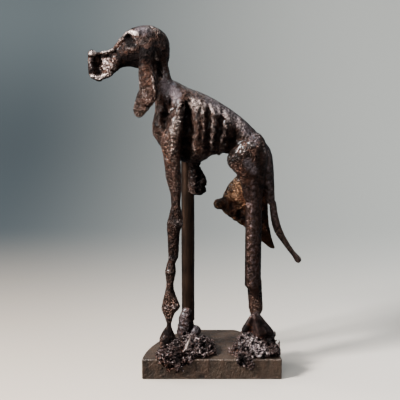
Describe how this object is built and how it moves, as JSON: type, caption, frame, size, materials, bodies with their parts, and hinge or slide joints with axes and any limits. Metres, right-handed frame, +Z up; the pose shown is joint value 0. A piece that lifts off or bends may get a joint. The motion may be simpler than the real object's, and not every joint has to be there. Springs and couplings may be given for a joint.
{
  "type": "scrap metal dog sculpture",
  "caption": "Lean long-eared hound welded from scrap steel, one hind leg folded up, standing on a half-moon offcut of thick plate.",
  "frame": {"origin": "middle of the base plate's underside, where the sculpture rests", "axes": "+Z up; the hound looks towards -X and its tail points to +X; the near side, with the plate's straight front edge, faces -Y"},
  "size_m": [0.1945, 0.0795, 0.3221],
  "materials": {
    "dark_steel": "welded scrap steel with a dark brown patina, worn bright on its high places",
    "straw_steel": "the same steel with straw and brown heat colours",
    "plate_steel": "flame-cut mill plate, brown and dull, with a bright front edge",
    "bright_steel": "thin bright sliver of steel"
  },
  "bodies": {
    "root": {"base_plate": "plate_steel", "body": "dark_steel", "head": "dark_steel", "near_ear": "dark_steel", "far_ear": "dark_steel", "near_foreleg": "dark_steel", "far_elbow": "dark_steel", "far_foreleg_bar": "dark_steel", "near_hind_leg": "dark_steel", "lifted_hind_leg": "straw_steel", "tail": "dark_steel", "far_forefoot": "dark_steel", "foot_ball": "dark_steel", "near_forefoot_slag": "dark_steel", "hind_foot_slag": "dark_steel", "sliver": "bright_steel"}
  },
  "joints": []
}
